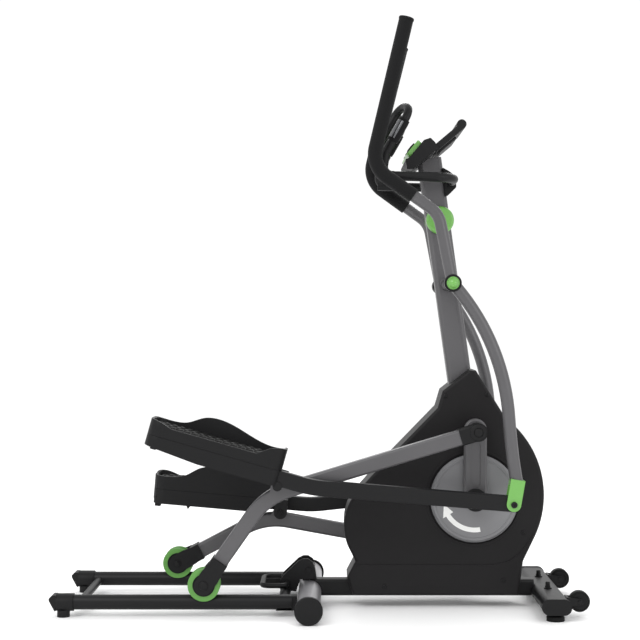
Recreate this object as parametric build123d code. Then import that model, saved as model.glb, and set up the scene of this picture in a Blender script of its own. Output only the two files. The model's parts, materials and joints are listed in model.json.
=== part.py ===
from build123d import *
import math
import os

# Elliptical trainer with a front drive, rear rollers on twin rails, and swinging handlebars.
# +X points forward to the console, +Y to the user's left, +Z up. The origin is on the floor,
# under the middle of the bounding box. Sizes are in millimetres.

# Linkage
HUB = (424, 305)                # crank axis in X, Z
CRANK = 190                     # crank axis to crank pin
PIVOT = (352, 893.5)            # swing arm pivot in X, Z
SWING = 607                     # pivot to the clevis pin at the foot of a swing arm
COUPLER = 627                   # pedal pivot to clevis pin
LINK_FRONT = 594                # crank pin to the bend of a roller arm
LINK_REAR = 288                 # bend to roller axle
LINK_BEND = 38                  # degrees turned at the bend
PEDAL_PIVOT = (-112.5, 355.6)   # pedal pivot of the right side at rest, in X, Z
RAIL_R = 20
RAIL_Z = 39
GROOVE_R = 28                   # roller radius at the bottom of its groove
ROLLER_R = 43
FORK_R = 26
RUN_GAP = 0.3                   # clearance between parts that run past each other
FIT = 0.05                      # radial clearance of a shaft in its bore
AXLE_Z = RAIL_Z + RAIL_R + GROOVE_R + RUN_GAP
PULLEY_R = 140
SMALL_PULLEY_R = 22

# Planes across the machine, as distances from its middle
SHROUD_Y = 68
DISC_Y = (70.5, 84)
ARM_Y = (90, 112)
ROLLER_Y = 171
ROLLER_TUBE = (42, 36)          # height, width
BAR_Y = 215
BAR = (42, 28)                  # height, width
BELT_Y = (40, 54)
GRIP_Y = 160                    # fixed handlebar, each side

# Frame
BEAM = 46                       # main tube, square
BEAM_Z = 49
REAR_X = -29
REAR_R = 32
REAR_CAP_R = 37.5
REAR_HALF = 280
FRONT_X = 624
FRONT_SIZE = (76, 40)
FRONT_Z = 40
FRONT_HALF = 240
RAIL_X = (-706, -75)
MAST_SIZE = (67, 50)
MAST_LEAN = 0.1383              # rearward travel per unit of height
MAST_X0 = 386
MAST_Z0 = 656
MAST_LOW = 482
MAST_TOP = 1246
WALL = 2.0
FLYWHEEL = (215, 235)
FLYWHEEL_R = 125
WHEEL_X = 696
WHEEL_Z = 41
WHEEL_R = 28
WHEEL_Y = 167
TRAY = (370, 140)               # foot tray, length and width
TRAY_BASE = 42                  # height of the tray below its seam
TRAY_DECK = 24                  # height of its floor above the seam
PEDAL_TILT = 15.8               # degrees, toe down
BAR_BEND = (-22, 352)           # where a pedal bar turns up to its tray, in X, Z
BAR_RISE = 21                   # pedal pivot to the bar's middle line
BRACKET_Y = (138, 150)          # the pivot bracket on the inner side of a roller arm
CONSOLE_TILT = 40


def direction(start, end):
    """Angle of start to end in the XZ plane, in degrees."""
    return math.degrees(math.atan2(end[1] - start[1], end[0] - start[0]))


def toward(start, angle, distance):
    """Point at a distance and an angle from start, in the XZ plane."""
    turn = math.radians(angle)
    return (start[0] + distance * math.cos(turn), start[1] + distance * math.sin(turn))


def circles_meet(first, first_r, second, second_r):
    """The meeting point of two circles that lies furthest forward."""
    gap = math.dist(first, second)
    along = (gap ** 2 + first_r ** 2 - second_r ** 2) / (2 * gap)
    across = math.sqrt(first_r ** 2 - along ** 2)
    line = direction(first, second)
    foot = toward(first, line, along)
    ends = [toward(foot, line + side * 90, across) for side in (-1, 1)]
    return max(ends)


def linkage(crank_angle):
    """Every pivot of one side, with its crank turned forward from upright by crank_angle degrees."""
    pin = toward(HUB, 90 - crank_angle, CRANK)
    drop = pin[1] - AXLE_Z
    axle = (pin[0] - math.sqrt(LINK ** 2 - drop ** 2), AXLE_Z)
    link_angle = direction(pin, axle)
    pedal = toward(pin, link_angle + PEDAL_OFFSET, PEDAL_REACH)
    foot = circles_meet(pedal, COUPLER, PIVOT, SWING)
    return {
        "pin": pin,
        "axle": axle,
        "pedal": pedal,
        "foot": foot,
        "link": link_angle,
        "bar": direction(pedal, foot),
        "swing": direction(PIVOT, foot),
    }


LINK = math.sqrt(
    LINK_FRONT ** 2 + LINK_REAR ** 2
    + 2 * LINK_FRONT * LINK_REAR * math.cos(math.radians(LINK_BEND))
)
TOP_PIN = (HUB[0], HUB[1] + CRANK)
TOP_AXLE = (TOP_PIN[0] - math.sqrt(LINK ** 2 - (TOP_PIN[1] - AXLE_Z) ** 2), AXLE_Z)
PEDAL_OFFSET = direction(TOP_PIN, PEDAL_PIVOT) - direction(TOP_PIN, TOP_AXLE)
PEDAL_REACH = math.dist(TOP_PIN, PEDAL_PIVOT)
RIGHT = linkage(0)
LEFT = linkage(180)
RIGHT_REACH = linkage(90)
LEFT_REACH = linkage(270)
BEND_ANGLE = math.degrees(math.asin(LINK_REAR * math.sin(math.radians(LINK_BEND)) / LINK))
KNEE = toward(RIGHT["pin"], RIGHT["link"] - BEND_ANGLE, LINK_FRONT)


def plate(face, low, high):
    """A face drawn in X, Z, made solid between two Y planes."""
    return Pos(0, high, 0) * extrude(Plane.XZ * face, amount=high - low)


def rod(centre, radius, low, high):
    """A round bar along Y."""
    return plate(Pos(*centre) * Circle(radius), low, high)


def ring(centre, radius, bore, low, high):
    """A round bar along Y with a bore."""
    return plate(Pos(*centre) * (Circle(radius) - Circle(bore)), low, high)


def strut(start, end, height, width, corner, wall, y=0):
    """A straight rectangular tube between two points in X, Z."""
    angle = math.radians(direction(start, end))
    plane = Plane(
        origin=(start[0], y, start[1]), x_dir=(0, 1, 0), z_dir=(math.cos(angle), 0, math.sin(angle))
    )
    outer = RectangleRounded(width, height, corner)
    inner = RectangleRounded(width - 2 * wall, height - 2 * wall, corner - wall)
    return extrude(plane * (outer - inner), amount=math.dist(start, end))


def sweep_round(path, radius, bore=0):
    """A round section, hollow if it has a bore, swept along a path."""
    section = Circle(radius) - Circle(bore) if bore else Circle(radius)
    return sweep(Plane(origin=path @ 0, z_dir=path % 0) * section, path=path)


def slab(points):
    """A closed straight-sided outline in X, Z as a face."""
    return make_face(Polyline(*points, close=True))


def capsule(start, end, radius):
    """A face with round ends at two points in X, Z."""
    side = direction(start, end) + 90
    corners = [toward(start, side, radius), toward(end, side, radius)]
    corners += [toward(end, side, -radius), toward(start, side, -radius)]
    return slab(corners) + Pos(*start) * Circle(radius) + Pos(*end) * Circle(radius)


def mirrored(shape):
    """The left-hand twin of a right-hand piece."""
    return mirror(shape, about=Plane.XZ)


def turned(shape, centre, angle):
    """A shape turned about the Y line through a point; a positive angle tips its top forward."""
    return shape.rotate(Axis((centre[0], 0, centre[1]), (0, 1, 0)), angle)


def moved_link(shape, old_at, new_at, old_angle, new_angle):
    """The left-hand twin of a linkage piece, put where its own half of the linkage is at rest."""
    shape = turned(mirrored(shape), old_at, old_angle - new_angle)
    return Pos(new_at[0] - old_at[0], 0, new_at[1] - old_at[1]) * shape


def mast_x(z):
    """X of the mast's centre line at a height."""
    return MAST_X0 - MAST_LEAN * (z - MAST_Z0)


# ---------------------------------------------------------------- frame

def make_main_tube():
    length = FRONT_X - FRONT_SIZE[0] / 2 + 9 - REAR_X
    tube = strut((REAR_X, BEAM_Z), (REAR_X + length, BEAM_Z), BEAM, BEAM, 9, WALL + 0.5)
    tube -= rod((REAR_X, REAR_CAP_R), REAR_R, -BEAM, BEAM)
    return tube - stadium_bar(FRONT_SIZE[0], FRONT_SIZE[1], FRONT_HALF)


def make_upright():
    """The inner post that carries the crank bearing and, on a flange, the mast."""
    top = (mast_x(MAST_LOW), MAST_LOW)
    post = strut((520, 60), top, 40, 46, 8, WALL + 0.5) - rod(HUB, 22, -36, 36)
    post += ring(HUB, 22, 14 + FIT, -36, 36)
    collar = slab([(490, 72.1), (545, 72.1), (538, 84), (486, 84)])
    post += plate(collar, -22.9, 22.9) - strut_solid((520, 60), top, 36, 42, 6, 0)
    post -= Pos(500, 0, 52) * Box(200, 80, 2 * (BEAM_Z + BEAM / 2 - 52) + 0.1)
    post -= Pos(top[0], 0, MAST_LOW + 46) * Box(200, 80, 100)
    return post + Pos(top[0] + 4, 0, MAST_LOW - 2) * Box(72, 48, 4)


def make_mast():
    low = (mast_x(MAST_LOW), MAST_LOW)
    top = (mast_x(MAST_TOP), MAST_TOP)
    mast = strut(low, top, MAST_SIZE[0], MAST_SIZE[1], 12, WALL + 0.5)
    mast -= rod(PIVOT, 17 + FIT, -60, 60)
    return mast - Pos(low[0], 0, MAST_LOW - 20) * Box(120, 60, 40)


def mast_solid(grow):
    """The mast's outer shape as a solid, to cut other parts with."""
    low = (mast_x(MAST_LOW), MAST_LOW)
    top = (mast_x(MAST_TOP), MAST_TOP)
    return strut_solid(low, top, MAST_SIZE[0] + grow, MAST_SIZE[1] + grow, 12, 0)


def stadium_bar(width, height, half):
    """A flat-oval bar along Y at the front of the machine."""
    face = Pos(FRONT_X, FRONT_Z) * RectangleRounded(width, height, height / 2 - 0.5)
    return plate(face, -half, half)


def make_front_stabiliser():
    tube = stadium_bar(FRONT_SIZE[0], FRONT_SIZE[1], FRONT_HALF)
    return tube - stadium_bar(FRONT_SIZE[0] - 5, FRONT_SIZE[1] - 5, FRONT_HALF + 1)


def make_rear_stabiliser():
    tube = rod((REAR_X, REAR_CAP_R), REAR_R - 0.02, -REAR_HALF, REAR_HALF)
    return tube - rod((REAR_X, REAR_CAP_R), REAR_R - 2.5, -REAR_HALF - 1, REAR_HALF + 1)


def make_stabiliser_caps():
    caps = []
    for side in (-1, 1):
        cap = rod((REAR_X, REAR_CAP_R), REAR_CAP_R, *sorted((side * REAR_HALF, side * (REAR_HALF + 14))))
        outer = cap.edges().filter_by(GeomType.CIRCLE).sort_by(Axis.Y)[0 if side < 0 else -1]
        caps.append(fillet(outer, 4))
        end = Pos(FRONT_X, FRONT_Z) * RectangleRounded(FRONT_SIZE[0] + 3, FRONT_SIZE[1] + 3, 20)
        caps.append(plate(end, *sorted((side * FRONT_HALF, side * (FRONT_HALF + 11)))))
    return Compound(children=[Part() + cap for cap in caps])


def make_rail_frame():
    rails = []
    for side in (-1, 1):
        y = side * ROLLER_Y
        plane = Plane(origin=(RAIL_X[0], y, RAIL_Z), z_dir=(1, 0, 0))
        tube = extrude(plane * (Circle(RAIL_R) - Circle(RAIL_R - 2)), amount=RAIL_X[1] - RAIL_X[0])
        rails.append(tube)
    cross = rod(CROSS, 15, -ROLLER_Y + 4, ROLLER_Y - 4)
    cross -= rails_cut(RAIL_R)
    rear = rod((RAIL_X[0] + 60, RAIL_Z - 4), 11, -ROLLER_Y + 4, ROLLER_Y - 4) - rails_cut(RAIL_R)
    return rails[0] + rails[1] + cross + rear


def rails_cut(radius):
    """Both rails as solid bars, to cut other parts with."""
    length = RAIL_X[1] - RAIL_X[0]
    bars = Part()
    for side in (-1, 1):
        plane = Plane(origin=(RAIL_X[0], side * ROLLER_Y, RAIL_Z), z_dir=(1, 0, 0))
        bars += extrude(plane * Circle(radius), amount=length)
    return bars


def make_rail_end_caps():
    caps = []
    for side in (-1, 1):
        y = side * ROLLER_Y
        nose = slab([(-706, 60), (-716, 60), (-724, 52), (-724, 46), (-709, 18), (-706, 18)])
        plane = Plane(origin=(RAIL_X[0], y, RAIL_Z), z_dir=(1, 0, 0))
        cap = plate(nose, y - 21, y + 21) + extrude(plane * Circle(RAIL_R + 3.5), amount=46)
        cap += Pos(-688, y, 9.5) * Cylinder(17, 19)
        caps.append(cap - rails_cut(RAIL_R + 0.01))
        lug = plate(slab([(-118, 18.5), (-66, 18.5), (-61.2, 33), (-61.2, 57), (-74.9, 57), (-74.9, 19)]),
                    y - 14, y + 14)
        caps.append(lug - rod((REAR_X, REAR_CAP_R), REAR_R, -300, 300) - rails_cut(RAIL_R + 0.01))
    return Compound(children=[Part() + cap for cap in caps])


HINGE = (-32, 100)              # where the rail frame folds up, in X, Z
LEVER = (-92, 64)
CROSS = (RAIL_X[1] - 22, RAIL_Z)


def make_fold_bracket():
    outline = slab([
        (-112, 44), (-112, 70), (-104, 84), (-62, 124), (-48, 131), (-34, 131),
        (-21, 122), (-14, 104), (-18, 84), (-22, 74), (-60, 74), (-66, 40),
    ])
    outline = fillet(outline.vertices(), 3)
    plates = []
    for low in (-31, 25):
        sheet = plate(outline, low, low + 6) - rod((REAR_X, REAR_CAP_R), REAR_R + 0.4, -60, 60)
        for spot, radius in ((CROSS, 15.02), (LEVER, 7 + FIT), (HINGE, 7 + FIT)):
            sheet -= rod(spot, radius, -60, 60)
        plates.append(sheet)
    lug = plate(slab([(-50, 68), (-10, 72.2), (-16, 112), (-34, 118), (-46, 108)]), -22, 22)
    lug -= rod((REAR_X, REAR_CAP_R), REAR_R + 0.02, -60, 60)
    lug -= Pos(30, 0, BEAM_Z) * Box(120, BEAM, BEAM + 0.1)
    plates.append(lug - rod(HINGE, 7 + FIT, -60, 60))
    return Compound(children=[Part() + item for item in plates])


def make_frame_bolts():
    bolts = [rod(HINGE, 7, -38, 38), rod(BRAKE_PIVOT, 6, -22.9, 22.9)]
    for side in (-1, 1):
        nut_y = side * 88
        nut = Pos(FRONT_X, nut_y, FRONT_Z + FRONT_SIZE[1] / 2) * Cylinder(
            7.5, 8, align=(Align.CENTER, Align.CENTER, Align.MIN))
        dome = Pos(FRONT_X, nut_y, FRONT_Z + FRONT_SIZE[1] / 2 + 8) * Cylinder(
            6.5, 11, align=(Align.CENTER, Align.CENTER, Align.MIN))
        dome = fillet(dome.edges().sort_by(Axis.Z)[-1], 4)
        washer = Pos(FRONT_X, nut_y, FRONT_Z + FRONT_SIZE[1] / 2) * Cylinder(
            11, 2.5, align=(Align.CENTER, Align.CENTER, Align.MIN))
        bolts.append(nut + dome + washer)
        for spot in SCREWS:
            bolts.append(rod(spot, 5.5, *sorted((side * SHROUD_Y, side * (SHROUD_Y + 2.2)))))
    return Compound(children=[Part() + bolt for bolt in bolts])


def make_wheel_brackets():
    """Two forks that hold the transport wheels ahead of the front stabiliser."""
    side_view = [(-36, 28), (4, 33), (10, 41), (4, 49), (-36, 54)]
    cheek = slab([(WHEEL_X + x, z) for x, z in side_view])
    brackets = []
    for side in (-1, 1):
        y = side * WHEEL_Y
        fork = Part()
        for low in (y - 19, y + 15):
            fork += plate(cheek, low, low + 4)
        web = plate(slab([(WHEEL_X - 37, 28), (WHEEL_X - 31, 28), (WHEEL_X - 31, 54), (WHEEL_X - 37, 54)]),
                    y - 19, y + 19)
        fork += web - stadium_bar(FRONT_SIZE[0], FRONT_SIZE[1], FRONT_HALF)
        fork += rod((WHEEL_X, WHEEL_Z), 5, y - 22, y + 22)
        brackets.append(fork - stadium_bar(FRONT_SIZE[0], FRONT_SIZE[1], FRONT_HALF))
    return Compound(children=brackets)


def make_transport_wheel(side):
    wheel = ring((WHEEL_X, WHEEL_Z), WHEEL_R, 5 + FIT, side * WHEEL_Y - 13, side * WHEEL_Y + 13)
    rims = wheel.edges().filter_by(GeomType.CIRCLE).filter_by(lambda edge: edge.radius > 20)
    return fillet(rims, 4)


def make_front_feet():
    feet = []
    for side in (-1, 1):
        foot = Pos(FRONT_X, side * 222, 0) * Cylinder(24, 14, align=(Align.CENTER, Align.CENTER, Align.MIN))
        stem = Pos(FRONT_X, side * 222, 14) * Cylinder(8, 6, align=(Align.CENTER, Align.CENTER, Align.MIN))
        feet.append(fillet(foot.edges().sort_by(Axis.Z)[-1], 5) + stem)
    return Compound(children=feet)


# ---------------------------------------------------------------- shroud

SCREWS = [(178, 60), (505, 78), (150, 300), (460, 590), (560, 210), (345, 585)]
SKIRT = [(60, 122), (478, 122), (520, 132), (552, 156), (620, 250)]     # line moulded in the sides


def shroud_outline(inset=0):
    """The side view of the shroud in X, Z, drawn in by inset."""
    low = Polyline((548, 36), (90, 36), (74, 86), (97, 130), (76, 172))
    rear = ThreePointArc((76, 172), (66, 236), (90, 308))
    slope = Polyline((90, 308), (142, 366), (324, 553), (338, 600), (412, 658), (430, 656), (512, 525))
    front = ThreePointArc((512, 525), (616, 345), (592, 196))
    toe = Polyline((592, 196), (560, 130), (548, 36))
    face = make_face(Curve() + [low, rear, slope, front, toe])
    return offset(face, -inset) if inset else face


def make_shroud(side):
    outer = plate(shroud_outline(), *sorted((0, side * SHROUD_Y)))
    outer_face = outer.faces().sort_by(Axis.Y)[0 if side < 0 else -1]
    outer = fillet(outer_face.edges(), 9)
    cavity = plate(shroud_outline(3.5), *sorted((0, side * (SHROUD_Y - 12))))
    cavity += plate(shroud_outline(12), *sorted((0, side * (SHROUD_Y - 3.5))))
    shell = outer - cavity
    shell -= mast_solid(1)
    face_y = sorted((side * (SHROUD_Y - 1.3), side * (SHROUD_Y + 1)))
    for start, end in zip(SKIRT, SKIRT[1:]):
        shell -= plate(capsule(start, end, 1.4), *face_y)
    shell -= Pos(320, 0, BEAM_Z) * Box(700, BEAM + 1, BEAM + 1)
    return shell - rod(HUB, 16, -100, 100)


# ---------------------------------------------------------------- drive

def make_crank_shaft():
    return rod(HUB, 14, -ARM_Y[0], ARM_Y[0])


def make_drive_pulley():
    wheel = ring(HUB, PULLEY_R, 14, *BELT_Y)
    for turn in range(6):
        hole = toward(HUB, 60 * turn + 30, PULLEY_R * 0.58)
        wheel -= rod(hole, 27, 0, 80)
    return wheel


def make_crank_arm():
    """The right crank arm, upright, with a boss at the crank pin."""
    pin = RIGHT["pin"]
    arm = plate(capsule(HUB, pin, 31), -ARM_Y[1], -ARM_Y[0])
    arm = chamfer(arm.faces().sort_by(Axis.Y)[0].edges(), 5)
    recess = capsule(toward(HUB, 90, 48), toward(HUB, 90, CRANK - 44), 14)
    arm -= plate(recess, -ARM_Y[1], -ARM_Y[1] + 3)
    hub = rod(HUB, 24, -ARM_Y[0], -DISC_Y[1])
    return arm + (hub - rod(HUB, 14, -ARM_Y[0], 0))


def make_crank_disc():
    disc = ring(HUB, 121, 14, -DISC_Y[1], -DISC_Y[0])
    rim = disc.faces().sort_by(Axis.Y)[0].edges().sort_by(SortBy.LENGTH)[-1]
    return chamfer(rim, 6)


def make_flywheel():
    wheel = ring(FLYWHEEL, FLYWHEEL_R, 10, -14, 12)
    for low, high in ((-14, -6), (4, 12)):
        wheel -= ring(FLYWHEEL, 96, 34, low, high)
    return wheel


def make_flywheel_shaft():
    return rod(FLYWHEEL, 10, -36, BELT_Y[0]) + rod(FLYWHEEL, SMALL_PULLEY_R, *BELT_Y)


def make_flywheel_bracket():
    sheet = capsule((FLYWHEEL[0], 120), FLYWHEEL, 26)
    sheet += slab([(165, 60), (265, 60), (241, 125), (189, 125)])
    plates = []
    for low in (-29, BEAM / 2 + 0.01):
        plates.append(plate(sheet, low, low + 5.9) - rod(FLYWHEEL, 10 + FIT, -60, 60))
    post = capsule((BRAKE_PIVOT[0], 84), BRAKE_PIVOT, 14)
    post -= Pos(BRAKE_PIVOT[0], BEAM_Z) * Rectangle(80, BEAM)
    for low, high in ((-22.9, -13), (11, 22.9)):
        plates.append(plate(post, low, high) - rod(BRAKE_PIVOT, 6 + FIT, -60, 60))
    return Compound(children=[Part() + item for item in plates])


def make_belt():
    """The poly-V belt round the crank pulley and the flywheel pulley, closed by two tangents."""
    gap = math.dist(HUB, FLYWHEEL)
    line = direction(FLYWHEEL, HUB)
    tilt = math.degrees(math.acos((PULLEY_R - SMALL_PULLEY_R) / gap))

    def loop(grow):
        big = PULLEY_R + grow
        small = SMALL_PULLEY_R + grow
        up = line + 180 - tilt
        down = line + 180 + tilt
        tangents = slab([toward(HUB, up, big), toward(FLYWHEEL, up, small),
                         toward(FLYWHEEL, down, small), toward(HUB, down, big)])
        return tangents + Pos(*HUB) * Circle(big) + Pos(*FLYWHEEL) * Circle(small)

    return plate(loop(3.3) - loop(RUN_GAP), BELT_Y[0] + 1, BELT_Y[1] - 1)


BRAKE_PIVOT = (372, 150)


def make_brake_arm():
    """The magnet carrier that swings towards the flywheel's rim."""
    arc = Circle(FLYWHEEL_R + 16) - Circle(FLYWHEEL_R + 5)
    wedge = slab([(0, 0), (230, -60), (230, -150), (130, -200)])
    carrier = Pos(*FLYWHEEL) * (arc & wedge)
    arm = capsule(BRAKE_PIVOT, (338, 164), 9) - Pos(*FLYWHEEL) * Circle(FLYWHEEL_R + 8)
    eye = Pos(*BRAKE_PIVOT) * Circle(14)
    body = plate(carrier + arm + eye, -12, 10)
    return body - rod(BRAKE_PIVOT, 6 + FIT, -60, 60)


# ---------------------------------------------------------------- roller arms

def make_roller_axle():
    axle = RIGHT["axle"]
    return rod(axle, 6, -ROLLER_Y - 29, -ROLLER_Y + 29)


def make_roller_wheel():
    """A grooved wheel that rides on the round rail."""
    half = 23
    axle = RIGHT["axle"]
    bore = 6 + FIT
    section = [(bore, -half), (ROLLER_R, -half), (ROLLER_R, half), (bore, half)]
    profile = make_face(Polyline(*section, close=True))
    groove = Pos(GROOVE_R + RAIL_R + RUN_GAP, 0) * Circle(RAIL_R + RUN_GAP)
    wheel = revolve(profile - groove, axis=Axis.Y)
    return Pos(axle[0], -ROLLER_Y, axle[1]) * wheel


def link_path(start, end, radius):
    points = [(start[0], -ROLLER_Y, start[1]), (KNEE[0], -ROLLER_Y, KNEE[1]), (end[0], -ROLLER_Y, end[1])]
    return FilletPolyline(*points, radius=radius)


def make_roller_arm():
    start = toward(RIGHT["pin"], direction(RIGHT["pin"], KNEE), 50)
    end = toward(RIGHT["axle"], direction(RIGHT["axle"], KNEE), 52)
    path = link_path(start, end, 190)
    plane = Plane(origin=path @ 0, x_dir=(0, 1, 0), z_dir=path % 0)
    height, width = ROLLER_TUBE
    section = RectangleRounded(width, height, 7) - RectangleRounded(width - 5, height - 5, 5)
    tube = sweep(plane * section, path=path)
    lug = capsule(RIGHT["pedal"], toward(RIGHT["pedal"], -100, 26), 18)
    lug = plate(lug, -ROLLER_Y - 17.9, -ROLLER_Y + 17.9)
    lug -= sweep(plane * RectangleRounded(width, height, 7), path=path)
    arm = tube + lug.solids().sort_by(Axis.Z)[-1]
    return arm - rod(RIGHT["pedal"], 8 + FIT, -300, 0)


def make_roller_arm_ends():
    """The fork over the roller, and the bearing housing with its stub pin at the crank end."""
    pin = RIGHT["pin"]
    axle = RIGHT["axle"]
    toward_knee = direction(axle, KNEE)
    cheek = capsule(axle, toward(axle, toward_knee, 30), FORK_R)
    wide = toward(axle, toward_knee, 26)
    neck = toward(axle, toward_knee, 52)
    cheek += slab([toward(wide, toward_knee + 90, FORK_R), toward(neck, toward_knee + 90, 24),
                   toward(neck, toward_knee - 90, 24), toward(wide, toward_knee - 90, FORK_R)])
    fork = Part()
    for low in (-ROLLER_Y - 29, -ROLLER_Y + 24.5):
        fork += plate(cheek, low, low + 4.5)
    top = toward(axle, toward_knee, 50)
    block = slab([toward(top, toward_knee + 90, 23), toward(top, toward_knee - 90, 23),
                  toward(toward(top, toward_knee, 26), toward_knee - 90, 23),
                  toward(toward(top, toward_knee, 26), toward_knee + 90, 23)])
    fork += plate(block, -ROLLER_Y - 29, -ROLLER_Y + 29)
    path = link_path(toward(pin, direction(pin, KNEE), 50), toward(axle, toward_knee, 52), 190)
    plane = Plane(origin=path @ 0, x_dir=(0, 1, 0), z_dir=path % 0)
    tube = sweep(plane * RectangleRounded(ROLLER_TUBE[1] + 0.02, ROLLER_TUBE[0] + 0.02, 7), path=path)
    fork -= tube
    fork -= rod(axle, ROLLER_R + 3, -ROLLER_Y - 24.5, -ROLLER_Y + 24.5)
    fork -= rod(axle, 6 + FIT, -300, 0)
    neck_end = toward(pin, direction(pin, KNEE), 49.9)
    housing = rod(pin, 25, -ROLLER_Y - 18, -ROLLER_Y + 18)
    housing += strut_solid(pin, neck_end, ROLLER_TUBE[0] + 4, ROLLER_TUBE[1] + 4, 6, -ROLLER_Y)
    stub = rod(pin, 12, -ROLLER_Y + 17, -ARM_Y[1] - 1)
    return Compound(children=[fork, Part() + (housing + stub)])


def strut_solid(start, end, height, width, corner, y):
    """A straight rectangular bar between two points in X, Z."""
    angle = math.radians(direction(start, end))
    plane = Plane(
        origin=(start[0], y, start[1]), x_dir=(0, 1, 0), z_dir=(math.cos(angle), 0, math.sin(angle))
    )
    return extrude(plane * RectangleRounded(width, height, corner), amount=math.dist(start, end))


# ---------------------------------------------------------------- pedals

def tray_frame():
    """The foot tray's own frame: its origin at the rear end of the seam, X to the toe, Z up."""
    tilt = math.radians(PEDAL_TILT)
    rise = BAR_RISE + BAR[0] / 2
    rear = toward(RIGHT["pedal"], 180 - PEDAL_TILT, TRAY[0])
    return Plane(
        origin=(rear[0] + rise * math.sin(tilt), -(BAR_Y - 40), rear[1] + rise * math.cos(tilt)),
        x_dir=(math.cos(tilt), 0, -math.sin(tilt)),
        z_dir=(math.sin(tilt), 0, math.cos(tilt)),
    )


def placed(shape):
    """A shape drawn in the tray's own frame, put where the right tray is."""
    return tray_frame().location * shape


def bar_solid(grow=0.0):
    """The pedal bar's outer shape: from the clevis back to its bend, then up under the tray."""
    rear = toward(toward(RIGHT["pedal"], 90 - PEDAL_TILT, BAR_RISE), 180 - PEDAL_TILT, TRAY[0] - 60)
    path = FilletPolyline(at(RIGHT["foot"]), at(BAR_BEND), at(rear), radius=300)
    plane = Plane(origin=path @ 0, x_dir=(0, 1, 0), z_dir=path % 0)
    return sweep(plane * RectangleRounded(BAR[1] + grow, BAR[0] + grow, 5), path=path)


def heel_wedge(inner_y):
    """What is cut away below the heel, where the tray and its bar taper to the rear."""
    below = slab([(-60, -29), (-5, -29), (150, -42.1), (150, -90), (-60, -90)])
    return placed(plate(below, -90, inner_y))


def make_pedal_bar():
    """The square bar with an eye for the clevis, and the bracket and pin for the roller arm."""
    foot = RIGHT["foot"]
    pedal = RIGHT["pedal"]
    bar = bar_solid() + rod(foot, BAR[0] / 2, -BAR_Y - BAR[1] / 2, -BAR_Y + BAR[1] / 2)
    back = direction(foot, BAR_BEND)
    bar -= strut_solid(toward(foot, back, 34), toward(foot, back, 470), BAR[0] - 6, BAR[1] - 6, 2, -BAR_Y)
    bar -= rod(foot, 9, -300, 0)
    bar -= heel_wedge(90)
    up = 90 - PEDAL_TILT
    low = toward(pedal, up, 18)
    step = toward(pedal, up, 38)
    high = toward(pedal, up, 60)
    bracket = capsule(pedal, low, 19) + slab([
        toward(low, up - 90, 19), toward(step, up - 90, 19), toward(step, up + 90, 11),
        toward(high, up + 90, 11), toward(high, up + 90, 40), toward(low, up + 90, 19),
    ])
    bar += plate(bracket, -BRACKET_Y[1], -BRACKET_Y[0])
    return bar + rod(pedal, 8, -BAR_Y + 4, -BRACKET_Y[0] + 2)


HEEL_HOOK = [(8, -20), (8, -50), (24, -50), (30, -36), (30, -20)]
MIDDLE_HOOK = [(92, -30), (104, -52), (120, -30)]

# Top edges of the tray's outer and inner walls, as distance from the heel and height over the seam
OUTER_WALL = [(-5, 41), (18, 41), (60, 29), (292, 29), (334, 54), (380, 56)]
INNER_WALL = [(-5, 41), (46, 38), (90, 46), (126, 68), (160, 76), (200, 73), (380, 57)]


def wall_cut(wall, low, high):
    """What lies above a wall whose top edge runs smoothly through the given points."""
    top = Spline(*wall)
    over = Polyline(wall[-1], (wall[-1][0], 120), (wall[0][0], 120), wall[0])
    return plate(make_face(Curve() + [top, over]), low, high)


def make_pedal_tray():
    """The foot tray: a low outer wall, an inner wall with a hump, a high toe wall and a raised deck."""
    length, width = TRAY
    outline = RectangleRounded(length, width, 32)
    body = Pos(length / 2, 0, -TRAY_BASE) * extrude(outline, amount=TRAY_BASE + 80)
    well = RectangleRounded(length - 14, width - 14, 25)
    body -= Pos(length / 2, 0, TRAY_DECK) * extrude(well, amount=80)
    body -= wall_cut(OUTER_WALL, -width, 0) + wall_cut(INNER_WALL, 0, width)
    body -= Pos(10, -18, -TRAY_BASE) * Box(
        length - 20, width - 60, TRAY_BASE + TRAY_DECK - 5, align=(Align.MIN, Align.MIN, Align.MIN))
    body -= Pos(length - 74, -18, -TRAY_BASE) * Box(
        90, width - 40, TRAY_BASE - 3, align=(Align.MIN, Align.MIN, Align.MIN))
    line = RectangleRounded(length + 4, width + 4, 34) - RectangleRounded(length - 2.4, width - 2.4, 31)
    body -= Pos(length / 2, 0, -0.8) * extrude(line, amount=1.6)
    for hook in (HEEL_HOOK, MIDDLE_HOOK):
        body += plate(slab(hook), 52, 62)
    body = placed(body) - heel_wedge(50) - bar_solid(0.04)
    body -= rod(RIGHT["pedal"], 8.5, -BAR_Y, -BRACKET_Y[0])
    return Part() + body.solids().sort_by(SortBy.VOLUME)[-1]


def make_pedal_pad():
    """The ribbed rubber mat on the tray's deck."""
    length, width = TRAY
    pad = Pos(length / 2, 0, TRAY_DECK) * extrude(RectangleRounded(length - 18, width - 18, 23), amount=5)
    for step in range(11):
        pad += Pos(54 + step * 26, 0, TRAY_DECK + 6.4) * Box(11, width - 46, 3)
    return placed(pad)


# ---------------------------------------------------------------- swing arms

ARM_TUBE_R = 16
ARM_FOOT_R = 17
SHOULDER = (315, 1078)
ELBOW = (137, 1204)
ARM_TOP = (229, 1592)
GRIP_START = (249, 1124.7)


def at(point, y=-BAR_Y):
    """A point in X, Z as a point in space."""
    return (point[0], y, point[1])


def clevis_top():
    """The lower end of the swing tube, inside the clevis."""
    return toward(RIGHT["foot"], 80, 56)


def swing_bow():
    """The forward bow from the pivot down to the clevis, as two tangent arcs."""
    bow = ThreePointArc(at(PIVOT), at((450, 743)), at((502, 534)))
    tail = TangentArc(bow @ 1, at(clevis_top()), tangent=bow % 1)
    return bow, tail


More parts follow.
